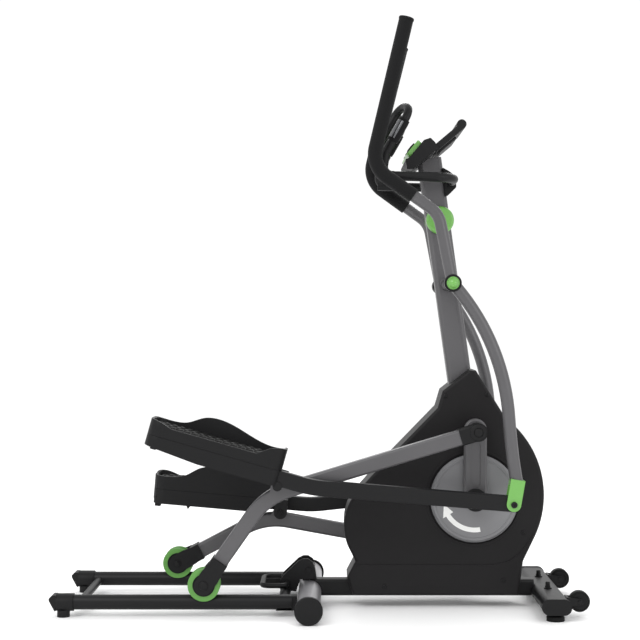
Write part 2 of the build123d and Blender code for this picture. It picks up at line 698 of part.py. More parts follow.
def make_swing_arm():
    upper = FilletPolyline(at(PIVOT), at(SHOULDER), at(ELBOW), at(ARM_TOP), radius=[70, 75])
    arm = sweep_round(upper, ARM_TUBE_R, ARM_TUBE_R - 2)
    for stretch in swing_bow():
        arm += sweep_round(stretch, ARM_FOOT_R, ARM_FOOT_R - 2.5)
    hub = rod(PIVOT, 22, -BAR_Y - 18, -BAR_Y + 18)
    return arm + hub - rod(PIVOT, 10 + FIT, -300, 0)


def make_swing_grip():
    """The foam grip over the upper tube, with a closed top."""
    path = FilletPolyline(at(GRIP_START), at(ELBOW), at(ARM_TOP), radius=75)
    grip = sweep_round(path, 19.5, ARM_TUBE_R + 0.05)
    lean = math.radians(direction(ELBOW, ARM_TOP))
    cap_plane = Plane(origin=at(ARM_TOP), z_dir=(math.cos(lean), 0, math.sin(lean)))
    cap = extrude(cap_plane * Circle(20.5), amount=7)
    cap = fillet(cap.edges().sort_by(Axis.Z)[-1], 3)
    return grip + cap


def make_swing_clevis():
    foot = RIGHT["foot"]
    top = toward(foot, 80, 66)
    lean = 80
    ear = slab([toward(foot, lean + 90, 19), toward(foot, lean - 90, 19),
                toward(top, lean - 90, 19), toward(top, lean + 90, 19)])
    ear += Pos(*foot) * Circle(19)
    ears = Part()
    for low in (-BAR_Y - 20, -BAR_Y + 15.5):
        ears += plate(ear, low, low + 4.5)
    low_edge = toward(foot, lean, 48)
    bridge = slab([toward(low_edge, lean + 90, 19), toward(low_edge, lean - 90, 19),
                   toward(top, lean - 90, 19), toward(top, lean + 90, 19)])
    clevis = ears + plate(bridge, -BAR_Y - 20, -BAR_Y + 20)
    clevis -= sweep_round(swing_bow()[1], ARM_FOOT_R + 0.02)
    clevis += rod(foot, 9, -BAR_Y - 25, -BAR_Y - 18)
    return clevis + rod(foot, 9, -BAR_Y + 18, -BAR_Y + 24)


def make_pivot_axle():
    """The cross axle through the mast, with the two tubes that hold it."""
    core = rod(PIVOT, 10, -BAR_Y - 20, BAR_Y + 20)
    return core + rod(PIVOT, 17, -BAR_Y + 19.5, BAR_Y - 19.5)


def make_pivot_caps():
    caps = []
    for side in (-1, 1):
        inner = side * (BAR_Y + 20)
        washer = rod(PIVOT, 17, *sorted((inner - side * 1, inner + side * 3)))
        dome = Pos(PIVOT[0], inner + side * 3, PIVOT[1]) * Sphere(14)
        half = Pos(PIVOT[0], inner + side * 23, PIVOT[1]) * Box(40, 40, 40)
        caps.append((dome & half) + washer - rod(PIVOT, 10, -BAR_Y - 20, BAR_Y + 20))
    return Compound(children=caps)


# ---------------------------------------------------------------- console and fixed handlebar

def make_mast_covers():
    spot = (mast_x(1073) + 5, 1073)
    covers = []
    for side in (-1, 1):
        face_y = side * MAST_SIZE[1] / 2
        disc = rod(spot, 39, *sorted((face_y, face_y + side * 12)))
        outer = disc.edges().filter_by(GeomType.CIRCLE).sort_by(Axis.Y)[0 if side < 0 else -1]
        covers.append(fillet(outer, 9))
    return Compound(children=covers)


BAR_FRONT = (364, 1179)
LOOP_R = 11.5
HORN_LOW = (166, 1184)
HORN_MID = (176, 1244)
HORN_TOP = (246, 1366)


def make_fixed_handlebar():
    """A bow in front of the mast whose two ends turn up into closed loop handles."""
    points = [(HORN_LOW, -GRIP_Y), (BAR_FRONT, -GRIP_Y), (BAR_FRONT, GRIP_Y), (HORN_LOW, GRIP_Y)]
    bow = FilletPolyline(*[at(point, y) for point, y in points], radius=58)
    handlebar = sweep_round(bow, 13)
    for side in (-1, 1):
        y = side * GRIP_Y
        riser_top = toward(HORN_MID, direction(HORN_MID, HORN_TOP), 34)
        route = [(200, HORN_LOW[1]), HORN_LOW, HORN_MID, riser_top]
        riser = FilletPolyline(*[at(point, y) for point in route], radius=24)
        handlebar += sweep_round(riser, 13)
        handlebar += sweep_round(horn_loop(side), LOOP_R)
    return handlebar


def horn_loop(side):
    """The closed loop at one end of the fixed handlebar; its inner leg leans to the user and inwards."""
    outer_y = side * GRIP_Y
    inner_y = side * (GRIP_Y - 74)
    back = (-26, 14)
    low_in = (HORN_MID[0] + back[0], HORN_MID[1] + back[1])
    top_in = (HORN_TOP[0] + back[0], HORN_TOP[1] + back[1])
    corners = [at(HORN_MID, outer_y), at(HORN_TOP, outer_y), at(top_in, inner_y), at(low_in, inner_y)]
    return FilletPolyline(*corners, close=True, radius=34)


def make_pulse_grips():
    grips = []
    lean = direction(HORN_MID, HORN_TOP)
    low = toward(HORN_MID, lean, 38)
    high = toward(HORN_TOP, lean, -36)
    for side in (-1, 1):
        path = Line(at(low, side * GRIP_Y), at(high, side * GRIP_Y))
        grips.append(sweep_round(path, 15, LOOP_R + 0.02))
    return Compound(children=[Part() + grip for grip in grips])


def make_handlebar_clamp():
    front = mast_x(BAR_FRONT[1]) + MAST_SIZE[0] / 2
    side_view = [(-6, 40), (12, 30), (31, 15), (31, -15), (14, -32), (2, -40)]
    block = plate(slab([(front + x, BAR_FRONT[1] + z) for x, z in side_view]), -32, 32)
    return block - rod(BAR_FRONT, 13.02, -200, 200) - mast_solid(0.1)


CONSOLE_HALF = 132
CONSOLE_SIDE = [
    (236, 1205), (252, 1205), (322, 1262), (312, 1278),
    (300, 1290), (282, 1284), (241, 1235), (232, 1232),
]


def make_console_housing():
    """The console's box, down over the top of the mast."""
    housing = plate(slab(CONSOLE_SIDE), -CONSOLE_HALF, CONSOLE_HALF)
    housing = fillet(housing.edges().filter_by(Axis.Y), 2.5)
    housing = chamfer(housing.faces().sort_by(Axis.Y)[0].edges(), 1.5)
    housing = chamfer(housing.faces().sort_by(Axis.Y)[-1].edges(), 1.5)
    return housing - mast_solid(0.1)


PANEL_LOW = CONSOLE_SIDE[6]
PANEL_ANGLE = direction(CONSOLE_SIDE[6], CONSOLE_SIDE[5])
PANEL_THICK = 12.5


def panel_plane():
    """The console's face: X across the machine, Y up the face, Z out towards the user."""
    angle = math.radians(PANEL_ANGLE)
    return Plane(
        origin=(PANEL_LOW[0], 0, PANEL_LOW[1]),
        x_dir=(0, -1, 0),
        z_dir=(-math.sin(angle), 0, math.cos(angle)),
    )


BUTTONS = {"button_minus": -86, "button_start": 0, "button_plus": 86}


def make_console_panel():
    face = Pos(0, 30) * RectangleRounded(2 * CONSOLE_HALF - 16, 52, 10)
    for offset_x in BUTTONS.values():
        face -= Pos(offset_x, 30) * Circle(15.5)
    return extrude(panel_plane() * face, amount=PANEL_THICK)


def make_button(offset_x):
    button = extrude(panel_plane() * (Pos(offset_x, 30) * Circle(15)), amount=PANEL_THICK + 3)
    button = Part() + Pos(*[axis * 2.2 for axis in panel_plane().z_dir]) * button
    rim = button.edges().filter_by(GeomType.CIRCLE).sort_by(Axis.Z)[-1]
    return fillet(rim, 2)


def make_tablet_rest():
    """The board that stands up behind the console, with a rolled lip along its top edge."""
    start = (313, 1262)
    end = toward(start, CONSOLE_TILT, 96)
    rib = toward(start, CONSOLE_TILT - 40, 11)
    rest = strut_solid(start, end, 18, 236, 5, 0)
    rest += strut_solid(rib, toward(rib, CONSOLE_TILT, 58), 18, 190, 5, 0)
    rest += rod(toward(end, CONSOLE_TILT + 60, 5), 13, -118, 118)
    rest -= plate(slab(CONSOLE_SIDE), -140, 140)
    rest -= mast_solid(0.1)
    return Part() + rest.solids().sort_by(SortBy.VOLUME)[-1]


def make_fold_lever():
    """The loop that releases the rail frame; its ends turn in the bracket's plates."""
    corners = [(LEVER[0], 22), (LEVER[0], 74), (LEVER[0] - 68, 74)]
    corners += [(x, -y) for x, y in reversed(corners)]
    path = FilletPolyline(*[(x, y, LEVER[1]) for x, y in corners], radius=22)
    return sweep_round(path, 7)


# ---------------------------------------------------------------- assembly

def left_link(shape):
    """A piece of the roller arm, moved to the left side's rest position."""
    return moved_link(shape, RIGHT["pin"], LEFT["pin"], RIGHT["link"], LEFT["link"])


def left_bar(shape):
    """A piece of the pedal bar, moved to the left side's rest position."""
    return moved_link(shape, RIGHT["pedal"], LEFT["pedal"], RIGHT["bar"], LEFT["bar"])


def left_swing(shape):
    return moved_link(shape, PIVOT, PIVOT, RIGHT["swing"], LEFT["swing"])


def left_axle(shape):
    return moved_link(shape, RIGHT["axle"], LEFT["axle"], 0, 0)


def left_crank(shape):
    return moved_link(shape, HUB, HUB, 0, 180)


def build():
    """Every node by name."""
    nodes = {
        "main_tube": make_main_tube(),
        "upright": make_upright(),
        "mast": make_mast(),
        "rear_stabiliser": make_rear_stabiliser(),
        "front_stabiliser": make_front_stabiliser(),
        "stabiliser_caps": make_stabiliser_caps(),
        "rail_frame": make_rail_frame(),
        "rail_end_caps": make_rail_end_caps(),
        "fold_bracket": make_fold_bracket(),
        "fold_lever": make_fold_lever(),
        "frame_bolts": make_frame_bolts(),
        "wheel_brackets": make_wheel_brackets(),
        "transport_wheel_right": make_transport_wheel(-1),
        "transport_wheel_left": make_transport_wheel(1),
        "front_feet": make_front_feet(),
        "shroud_right": make_shroud(-1),
        "shroud_left": make_shroud(1),
        "crank_shaft": make_crank_shaft(),
        "drive_pulley": make_drive_pulley(),
        "flywheel": make_flywheel(),
        "flywheel_shaft": make_flywheel_shaft(),
        "flywheel_bracket": make_flywheel_bracket(),
        "belt": make_belt(),
        "brake_arm": make_brake_arm(),
        "pivot_axle": make_pivot_axle(),
        "pivot_caps": make_pivot_caps(),
        "mast_covers": make_mast_covers(),
        "fixed_handlebar": make_fixed_handlebar(),
        "pulse_grips": make_pulse_grips(),
        "handlebar_clamp": make_handlebar_clamp(),
        "console_housing": make_console_housing(),
        "console_panel": make_console_panel(),
        "tablet_rest": make_tablet_rest(),
    }
    for name, offset_x in BUTTONS.items():
        nodes[name] = make_button(offset_x)
    pairs = {
        "crank_arm": (make_crank_arm, left_crank),
        "crank_disc": (make_crank_disc, left_crank),
        "roller_axle": (make_roller_axle, left_axle),
        "roller_wheel": (make_roller_wheel, left_axle),
        "roller_arm": (make_roller_arm, left_link),
        "roller_arm_ends": (make_roller_arm_ends, left_link),
        "pedal_bar": (make_pedal_bar, left_bar),
        "pedal_tray": (make_pedal_tray, left_bar),
        "pedal_pad": (make_pedal_pad, left_bar),
        "swing_arm": (make_swing_arm, left_swing),
        "swing_grip": (make_swing_grip, left_swing),
        "swing_clevis": (make_swing_clevis, left_swing),
    }
    for name, (make, to_left) in pairs.items():
        shape = make()
        nodes[name + "_right"] = shape
        nodes[name + "_left"] = to_left(shape)
    return nodes


NODES = build()
os.makedirs("parts", exist_ok=True)
for node_name, shape in NODES.items():
    export_step(shape, f"parts/{node_name}.step")
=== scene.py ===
import json
import math

import bmesh
import bpy
import numpy as np
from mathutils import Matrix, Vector


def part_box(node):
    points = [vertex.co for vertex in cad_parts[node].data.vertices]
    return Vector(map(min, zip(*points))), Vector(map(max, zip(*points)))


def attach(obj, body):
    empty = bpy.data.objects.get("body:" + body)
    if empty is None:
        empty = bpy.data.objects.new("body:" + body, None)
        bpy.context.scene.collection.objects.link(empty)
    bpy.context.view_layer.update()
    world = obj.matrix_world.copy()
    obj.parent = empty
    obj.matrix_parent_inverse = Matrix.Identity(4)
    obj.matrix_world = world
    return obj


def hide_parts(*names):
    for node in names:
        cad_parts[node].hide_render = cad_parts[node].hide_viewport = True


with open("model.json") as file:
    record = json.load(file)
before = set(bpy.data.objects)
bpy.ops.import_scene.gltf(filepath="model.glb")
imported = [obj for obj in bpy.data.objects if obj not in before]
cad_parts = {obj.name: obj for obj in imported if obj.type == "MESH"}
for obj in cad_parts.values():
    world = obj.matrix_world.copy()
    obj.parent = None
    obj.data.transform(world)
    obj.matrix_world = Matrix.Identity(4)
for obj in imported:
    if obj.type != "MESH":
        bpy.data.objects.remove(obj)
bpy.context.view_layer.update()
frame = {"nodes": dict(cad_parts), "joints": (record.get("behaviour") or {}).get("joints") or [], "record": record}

# Lengths are in metres. A side's number is the sign of Y on that side.
SIDES = {"right": -1, "left": 1}
JOINTS = {joint["name"]: joint for joint in frame["joints"]}
SEGMENTS = 64


def joint_at(name):
    """Where a joint's axis passes, at rest."""
    return Vector(JOINTS[name]["pos_m"])


# ---------------------------------------------------------------- materials

def linear(value):
    """A display value from 0 to 1 as linear light."""
    return value / 12.92 if value <= 0.04045 else ((value + 0.055) / 1.055) ** 2.4


def colour(red, green, blue):
    """A display colour from 0 to 255 as linear RGBA."""
    return tuple(linear(channel / 255) for channel in (red, green, blue)) + (1.0,)


def material(name, base, rough, metal=0.0, grain=900.0, bump=0.05, depth=0.0002, shift=0.06,
             coat=0.0, stretch=(1, 1, 1), wear=0.04, specular=0.5, sheen=0.0):
    """A surface with fine grain in its relief, slow drift in its colour, and uneven gloss."""
    mat = bpy.data.materials.new(name)
    mat.use_nodes = True
    tree = mat.node_tree
    nodes = tree.nodes
    shader = nodes["Principled BSDF"]
    shader.inputs["Metallic"].default_value = metal
    shader.inputs["Coat Weight"].default_value = coat
    shader.inputs["Coat Roughness"].default_value = 0.12
    shader.inputs["Specular IOR Level"].default_value = specular
    shader.inputs["Sheen Weight"].default_value = sheen
    place = nodes.new("ShaderNodeTexCoord")
    mapping = nodes.new("ShaderNodeMapping")
    mapping.inputs["Scale"].default_value = stretch
    tree.links.new(place.outputs["Object"], mapping.inputs["Vector"])

    def noise(scale, detail):
        node = nodes.new("ShaderNodeTexNoise")
        node.inputs["Scale"].default_value = scale
        node.inputs["Detail"].default_value = detail
        tree.links.new(mapping.outputs["Vector"], node.inputs["Vector"])
        return node

    drift = noise(scale=7.0, detail=3.0)
    tone = nodes.new("ShaderNodeValToRGB")
    tone.color_ramp.elements[0].position = 0.3
    tone.color_ramp.elements[1].position = 0.7
    tone.color_ramp.elements[0].color = tuple(c * (1 - shift) for c in base[:3]) + (1,)
    tone.color_ramp.elements[1].color = tuple(min(1, c * (1 + shift)) for c in base[:3]) + (1,)
    tree.links.new(drift.outputs["Fac"], tone.inputs["Fac"])
    tree.links.new(tone.outputs["Color"], shader.inputs["Base Color"])
    smudge = noise(scale=45.0, detail=5.0)
    gloss = nodes.new("ShaderNodeMapRange")
    gloss.inputs["To Min"].default_value = rough - wear
    gloss.inputs["To Max"].default_value = rough + wear
    tree.links.new(smudge.outputs["Fac"], gloss.inputs["Value"])
    tree.links.new(gloss.outputs["Result"], shader.inputs["Roughness"])
    fine = noise(scale=grain, detail=4.0)
    relief = nodes.new("ShaderNodeBump")
    relief.inputs["Strength"].default_value = bump
    relief.inputs["Distance"].default_value = depth
    tree.links.new(fine.outputs["Fac"], relief.inputs["Height"])
    tree.links.new(relief.outputs["Normal"], shader.inputs["Normal"])
    return mat


def pebbled(mat, scale, strength, depth):
    """Adds small moulded cells under a material's fine grain."""
    tree = mat.node_tree
    nodes = tree.nodes
    relief = next(node for node in nodes if node.type == "BUMP")
    mapping = next(node for node in nodes if node.type == "MAPPING")
    cells = nodes.new("ShaderNodeTexVoronoi")
    cells.inputs["Scale"].default_value = scale
    under = nodes.new("ShaderNodeBump")
    under.inputs["Strength"].default_value = strength
    under.inputs["Distance"].default_value = depth
    tree.links.new(mapping.outputs["Vector"], cells.inputs["Vector"])
    tree.links.new(cells.outputs["Distance"], under.inputs["Height"])
    tree.links.new(under.outputs["Normal"], relief.inputs["Normal"])
    return mat


MATERIALS = {
    "grey_metal": material("grey_powder_coat", colour(80, 79, 81), rough=0.42, metal=0.3, grain=1400,
                           bump=0.18, coat=0.12),
    "silver_metal": material("silver_powder_coat", colour(142, 141, 144), rough=0.38, metal=0.45,
                             grain=1400, bump=0.15, coat=0.12),
    "black_metal": material("black_powder_coat", colour(19, 19, 20), rough=0.44, grain=1600, bump=0.2,
                            specular=0.2),
    "steel": material("zinc_plated_steel", colour(150, 150, 152), rough=0.34, metal=1.0, grain=700,
                      bump=0.08, stretch=(1, 14, 1), wear=0.08),
    "cast_iron": material("machined_iron", colour(96, 96, 98), rough=0.38, metal=1.0, grain=500,
                          bump=0.15),
    "black_plastic": pebbled(
        material("black_plastic", colour(17, 17, 18), rough=0.5, grain=2600, bump=0.2, specular=0.2),
        scale=1500, strength=0.12, depth=0.0001),
    "shroud_plastic": pebbled(
        material("shroud_plastic", colour(24, 23, 24), rough=0.5, grain=2200, bump=0.15,
                 specular=0.16),
        scale=1100, strength=0.14, depth=0.00012),
    "disc_plastic": material("disc_plastic", colour(112, 112, 114), rough=0.4, metal=0.25, grain=1500,
                             bump=0.08, coat=0.15),
    "green_plastic": material("green_plastic", colour(98, 158, 70), rough=0.32, grain=1800, bump=0.06,
                              coat=0.3, shift=0.03),
    "green_rubber": material("green_urethane", colour(82, 138, 58), rough=0.44, grain=900, bump=0.1,
                             shift=0.04),
    "rubber": pebbled(
        material("black_rubber", colour(15, 15, 15), rough=0.7, grain=1500, bump=0.3, specular=0.18),
        scale=900, strength=0.2, depth=0.00015),
    "foam": pebbled(
        material("grip_foam", colour(16, 16, 17), rough=0.76, grain=2400, bump=0.5, depth=0.0003,
                 sheen=0.05, specular=0.15),
        scale=1300, strength=0.35, depth=0.0002),
    "white_print": material("white_print", colour(226, 226, 224), rough=0.45, grain=1500, bump=0.05,
                            shift=0.02),
    "dark_gloss": material("dark_window", colour(12, 13, 15), rough=0.14, grain=300, bump=0.01,
                           wear=0.02, coat=0.5),
    "sensor": material("sensor_steel", colour(104, 105, 107), rough=0.3, metal=1.0, grain=900,
                       bump=0.03, stretch=(1, 1, 9), wear=0.05),
}

for subpart in frame["record"]["subparts"]:
    node = frame["nodes"][subpart["node"]]
    finish = MATERIALS[subpart["material_slot"]]
    if node.material_slots:
        for slot in node.material_slots:
            slot.material = finish
    else:
        node.data.materials.append(finish)


# ---------------------------------------------------------------- shape helpers

def piece(name, mesh, body, slot_name, finish=None, bevel=0.0, smooth_angle=40):
    """Makes an object of a mesh, sets its finish and shading, and lets it ride on a body."""
    mesh.update()
    obj = bpy.data.objects.new(name, mesh)
    bpy.context.scene.collection.objects.link(obj)
    mesh.materials.append(MATERIALS[finish or slot_name])
    if bevel:
        edge = obj.modifiers.new("edge", "BEVEL")
        edge.width = bevel
        edge.segments = 2
        edge.limit_method = "ANGLE"
        edge.angle_limit = math.radians(32)
    for polygon in mesh.polygons:
        polygon.use_smooth = True
    mesh.set_sharp_from_angle(angle=math.radians(smooth_angle))
    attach(obj, body)
    return obj


def closed_mesh(name, verts, faces):
    """A mesh of the given corners and faces, with all its faces turned outwards."""
    mesh = bpy.data.meshes.new(name)
    mesh.from_pydata(verts, [], faces)
    work = bmesh.new()
    work.from_mesh(mesh)
    bmesh.ops.recalc_face_normals(work, faces=work.faces)
    work.to_mesh(mesh)
    work.free()
    return mesh


def axes_for(axis):
    """Two directions square to an axis."""
    axis = Vector(axis).normalized()
    first = axis.orthogonal().normalized()
    if abs(axis.y) > 0.9:
        first = Vector((0, 0, 1))
    return first, axis.cross(first).normalized()


def lathe(name, centre, axis, profile, body, slot_name, finish=None, segments=SEGMENTS, arc=(0, 360)):
    """Turns a profile of (distance along the axis, radius) about the axis, as a closed solid.
    A negative radius means a hexagon of that size across its corners."""
    axis = Vector(axis).normalized()
    first, second = axes_for(axis)
    full = arc[1] - arc[0] >= 360
    count = segments if full else segments + 1
    verts = []
    for along, radius in profile:
        for step in range(count):
            turn = math.radians(arc[0] + (arc[1] - arc[0]) * step / segments)
            reach = abs(radius)
            if radius < 0:
                inside = (math.degrees(turn) % 60) - 30
                reach = reach * math.cos(math.radians(30)) / math.cos(math.radians(inside))
            out = first * math.cos(turn) + second * math.sin(turn)
            verts.append(centre + axis * along + out * reach)
    faces = []
    rows = len(profile)
    for row in range(rows - 1):
        for step in range(count if full else count - 1):
            after = (step + 1) % count
            faces.append((row * count + step, row * count + after, (row + 1) * count + after,
                          (row + 1) * count + step))
    if full:
        faces.append(tuple(reversed(range(count))))
        faces.append(tuple(range((rows - 1) * count, rows * count)))
    else:
        faces.append(tuple(row * count for row in range(rows)))
        faces.append(tuple(row * count + count - 1 for row in reversed(range(rows))))
        for step in range(count - 1):
            faces.append((step, (rows - 1) * count + step, (rows - 1) * count + step + 1, step + 1))
    return piece(name, closed_mesh(name, verts, faces), body, slot_name, finish)


def prism(name, outline, low, high, place, body, slot_name, finish=None, bevel=0.0004):
    """A closed outline in a plane, given thickness along the plane's normal. place maps (u, v, w)."""
    count = len(outline)
    verts = [place(u, v, low) for u, v in outline] + [place(u, v, high) for u, v in outline]
    faces = [tuple(reversed(range(count))), tuple(range(count, 2 * count))]
    for step in range(count):
        after = (step + 1) % count
        faces.append((step, after, count + after, count + step))
    return piece(name, closed_mesh(name, verts, faces), body, slot_name, finish, bevel)


def rounded_rectangle(width, height, radius, steps=8):
    """Points of a rectangle with round corners, about its centre."""
    points = []
    for quarter, (sx, sy) in enumerate(((1, 1), (-1, 1), (-1, -1), (1, -1))):
        for step in range(steps + 1):
            turn = math.radians(90 * quarter + 90 * step / steps)
            points.append((sx * (width / 2 - radius) + radius * math.cos(turn),
                           sy * (height / 2 - radius) + radius * math.sin(turn)))
    return points


def bolt(name, centre, axis, radius, body, slot_name="steel", finish=None, height=None):
    """A round-headed screw with a hexagon socket, its seat at centre and its head along axis."""
    height = height or radius * 0.62
    profile = [(0, radius), (height * 0.45, radius), (height * 0.8, radius * 0.86),
               (height, radius * 0.62), (height, -radius * 0.52), (height * 0.4, -radius * 0.5),
               (height * 0.35, radius * 0.02)]
    return lathe(name, centre, axis, profile, body, slot_name, finish, segments=48)


def nut(name, centre, axis, radius, body, slot_name="steel", finish=None):
    """A hexagon nut on a washer, with the end of its bolt showing."""
    profile = [(0, radius * 1.35), (radius * 0.16, radius * 1.35), (radius * 0.17, -radius * 1.12),
               (radius * 0.95, -radius * 1.12), (radius * 1.05, -radius * 1.0),
               (radius * 1.05, radius * 0.62), (radius * 1.3, radius * 0.58),
               (radius * 1.34, radius * 0.5)]
    return lathe(name, centre, axis, profile, body, slot_name, finish, segments=48)


def dome(name, centre, axis, radius, height, body, slot_name, finish=None, lip=0.0015):
    """A round cap with a rolled edge and a crowned face."""
    profile = [(0, radius - lip * 0.4), (lip, radius), (height * 0.55, radius)]
    steps = 7
    for step in range(1, steps + 1):
        turn = math.radians(90 * step / steps)
        rise = height * (0.55 + 0.45 * math.sin(turn))
        profile.append((rise, max(0.0002, radius * math.cos(turn * 0.98))))
    return lathe(name, centre, axis, profile, body, slot_name, finish)


def bead(name, centre, axis, radius, thickness, body, slot_name="grey_metal"):
    """A weld bead round a joint between two tubes."""
    axis = Vector(axis).normalized()
    first, second = axes_for(axis)
    verts = []
    rings = 72
    sides = 8
    for ring in range(rings):
        turn = math.tau * ring / rings
        out = first * math.cos(turn) + second * math.sin(turn)
        swell = thickness * (1 + 0.16 * math.sin(ring * 5 * math.tau / 12))
        for side in range(sides):
            around = math.tau * side / sides
            reach = radius + swell * math.cos(around)
            verts.append(centre + out * reach + axis * swell * math.sin(around))
    faces = []
    for ring in range(rings):
        for side in range(sides):
            after_ring = (ring + 1) % rings
            after_side = (side + 1) % sides
            faces.append((ring * sides + side, after_ring * sides + side,
                          after_ring * sides + after_side, ring * sides + after_side))
    mesh = bpy.data.meshes.new(name)
    mesh.from_pydata(verts, [], faces)
    return piece(name, mesh, body, slot_name)


def soften(node_name, width=0.0009, angle=34):
    """Rounds the sharp edges of a CAD node as it is drawn."""
    obj = frame["nodes"][node_name]
    weld = obj.modifiers.new("weld", "WELD")
    weld.merge_threshold = 0.00002
    edge = obj.modifiers.new("edge", "BEVEL")
    edge.width = width
    edge.segments = 2
    edge.limit_method = "ANGLE"
    edge.angle_limit = math.radians(angle)
    edge.harden_normals = False
    edge.use_clamp_overlap = True


def islands(node_name):
    """The lowest and highest corner of each separate solid of a CAD node."""
    work = bmesh.new()
    work.from_mesh(frame["nodes"][node_name].data)
    bmesh.ops.remove_doubles(work, verts=work.verts, dist=0.00001)
    seen = set()
    found = []
    for start in work.verts:
        if start.index in seen:
            continue
        stack = [start]
        seen.add(start.index)
        members = []
        while stack:
            vert = stack.pop()
            members.append(vert.co.copy())
            for link in vert.link_edges:
                other = link.other_vert(vert)
                if other.index not in seen:
                    seen.add(other.index)
                    stack.append(other)
        points = np.array(members)
        found.append((Vector(points.min(0)), Vector(points.max(0))))
    work.free()
    return found


# ---------------------------------------------------------------- crank and drive

def crank_details(side, sign):
    """The caps on the crank's hub and pin, and the arrow and the ridge on its disc."""
    half_housing = 0.018  # of the crank pin, about the plane of the roller arm
    crown_seat = 0.004
    hub = joint_at("crank_spin")
    low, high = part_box("crank_arm_" + side)
    arm_face = abs(low.y) if sign < 0 else abs(high.y)
    half = (high.x - low.x) / 2
    upright = high.z - hub.z > hub.z - low.z
    pin_z = high.z - half if upright else low.z + half
    out = Vector((0, sign, 0))
    face = Vector((hub.x, sign * arm_face, hub.z))
    profile = [(0, 0.030), (0.0012, 0.0312), (0.006, 0.0312), (0.0085, 0.029), (0.0085, 0.018),
               (0.0070, 0.0165), (0.0070, 0.0002)]
    lathe("crank_hub_cap_" + side, face, out, profile, "crank", "black_plastic")
    pin = Vector((hub.x, 0, pin_z))
    pin.y = sign * (abs(joint_at("pedal_pitch_" + side).y) + half_housing)
    profile = [(0, 0.021), (0.001, 0.0222), (0.0035, 0.0222), (0.005, 0.020), (0.005, 0.0125),
               (0.0042, 0.0118), (0.0042, 0.0002)]
    lathe("crank_pin_cap_" + side, pin, out, profile, "roller_arm_" + side, "black_plastic")
    dome("crank_pin_crown_" + side, pin + out * crown_seat, out, 0.0112, 0.0048,
         "roller_arm_" + side, "black_plastic")
    disc_low, disc_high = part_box("crank_disc_" + side)
    disc_face = max(abs(disc_low.y), abs(disc_high.y))
    radius = (disc_high.z - disc_low.z) / 2

    def place(u, v, w):
        return Vector((hub.x + u, sign * (disc_face + w), hub.z + v))

    arrow_on_disc("crank_arrow_" + side, radius * 0.71, place)
    ridge = [(-0.0002, radius * 0.905), (0.0010, radius * 0.9), (0.0010, radius * 0.888),
             (-0.0002, radius * 0.883)]
    disc_ring("crank_disc_ridge_" + side, Vector((hub.x, sign * disc_face, hub.z)), out, ridge)


def disc_ring(name, centre, axis, section):
    """A thin raised ring about an axis. It is a piece of the crank disc until a caller moves it."""
    first, second = axes_for(axis)
    count = 120
    rows = len(section)
    verts = []
    for step in range(count):
        turn = math.tau * step / count
        out = first * math.cos(turn) + second * math.sin(turn)
        verts += [centre + out * radius + Vector(axis) * along for along, radius in section]
    faces = []
    for step in range(count):
        after = (step + 1) % count
        for row in range(rows):
            below = (row + 1) % rows
            faces.append((step * rows + row, after * rows + row,
                          after * rows + below, step * rows + below))
    return piece(name, closed_mesh(name, verts, faces), "crank", "disc_plastic")


def arrow_on_disc(name, radius, place):
    """A plain curved arrow that shows which way the disc turns. Its angles are in degrees."""
    tail = -80
    neck = -148
    tip = -170
    half = 0.0065
    outer = []
    inner = []
    steps = 24
    for step in range(steps + 1):
        turn = math.radians(tail + (neck - tail) * step / steps)
        outer.append(((radius + half) * math.cos(turn), (radius + half) * math.sin(turn)))
        inner.append(((radius - half) * math.cos(turn), (radius - half) * math.sin(turn)))
    neck_turn = math.radians(neck)
    tip_turn = math.radians(tip)
    wing = half * 2.5
    head = [((radius + wing) * math.cos(neck_turn), (radius + wing) * math.sin(neck_turn)),
            (radius * math.cos(tip_turn), radius * math.sin(tip_turn)),
            ((radius - wing) * math.cos(neck_turn), (radius - wing) * math.sin(neck_turn))]
    outline = outer + head + inner[::-1]
    prism(name, outline, -0.0002, 0.0005, place, "crank", "disc_plastic", "white_print", bevel=0)


for side_name, side_sign in SIDES.items():
    crank_details(side_name, side_sign)


# ---------------------------------------------------------------- rollers, pedals and swing arms

def roller_details(side, sign):
    """The cap and the nut on a roller's axle, and the hub discs of its wheel."""
    sink = 0.0003  # how deep the cap and the nut sit in the axle's ends
    axle = joint_at("roller_spin_" + side)
    low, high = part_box("roller_axle_" + side)
    carriage = "roller_carriage_" + side
    for end, y in (("outer", low.y if sign < 0 else high.y), ("inner", high.y if sign < 0 else low.y)):
        out = Vector((0, sign if end == "outer" else -sign, 0))
        seat = Vector((axle.x, y, axle.z)) - out * sink
        if end == "outer":
            dome("roller_cap_" + side, seat, out, 0.0115, 0.0055, carriage, "black_plastic")
        else:
            nut("roller_nut_" + side, seat, out, 0.0075, carriage, "black_metal")
    wheel_low, wheel_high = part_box("roller_wheel_" + side)
    for end, y in ((-1, wheel_low.y), (1, wheel_high.y)):
        name = "roller_hub_%s_%s" % (side, "in" if end * sign < 0 else "out")
        hub_plate(name, Vector((axle.x, y, axle.z)), Vector((0, end, 0)), "roller_" + side)


def hub_plate(name, centre, axis, body):
    """The dark hub disc at one face of a roller, with a rim and a bearing ring."""
    profile = [(-0.0002, 0.0300), (0.0006, 0.0296), (0.0006, 0.0266), (0.0002, 0.0258),
               (0.0002, 0.0142), (0.0008, 0.0136), (0.0008, 0.0095), (0.0001, 0.0090)]
    return lathe(name, centre, axis, profile, body, "black_plastic")


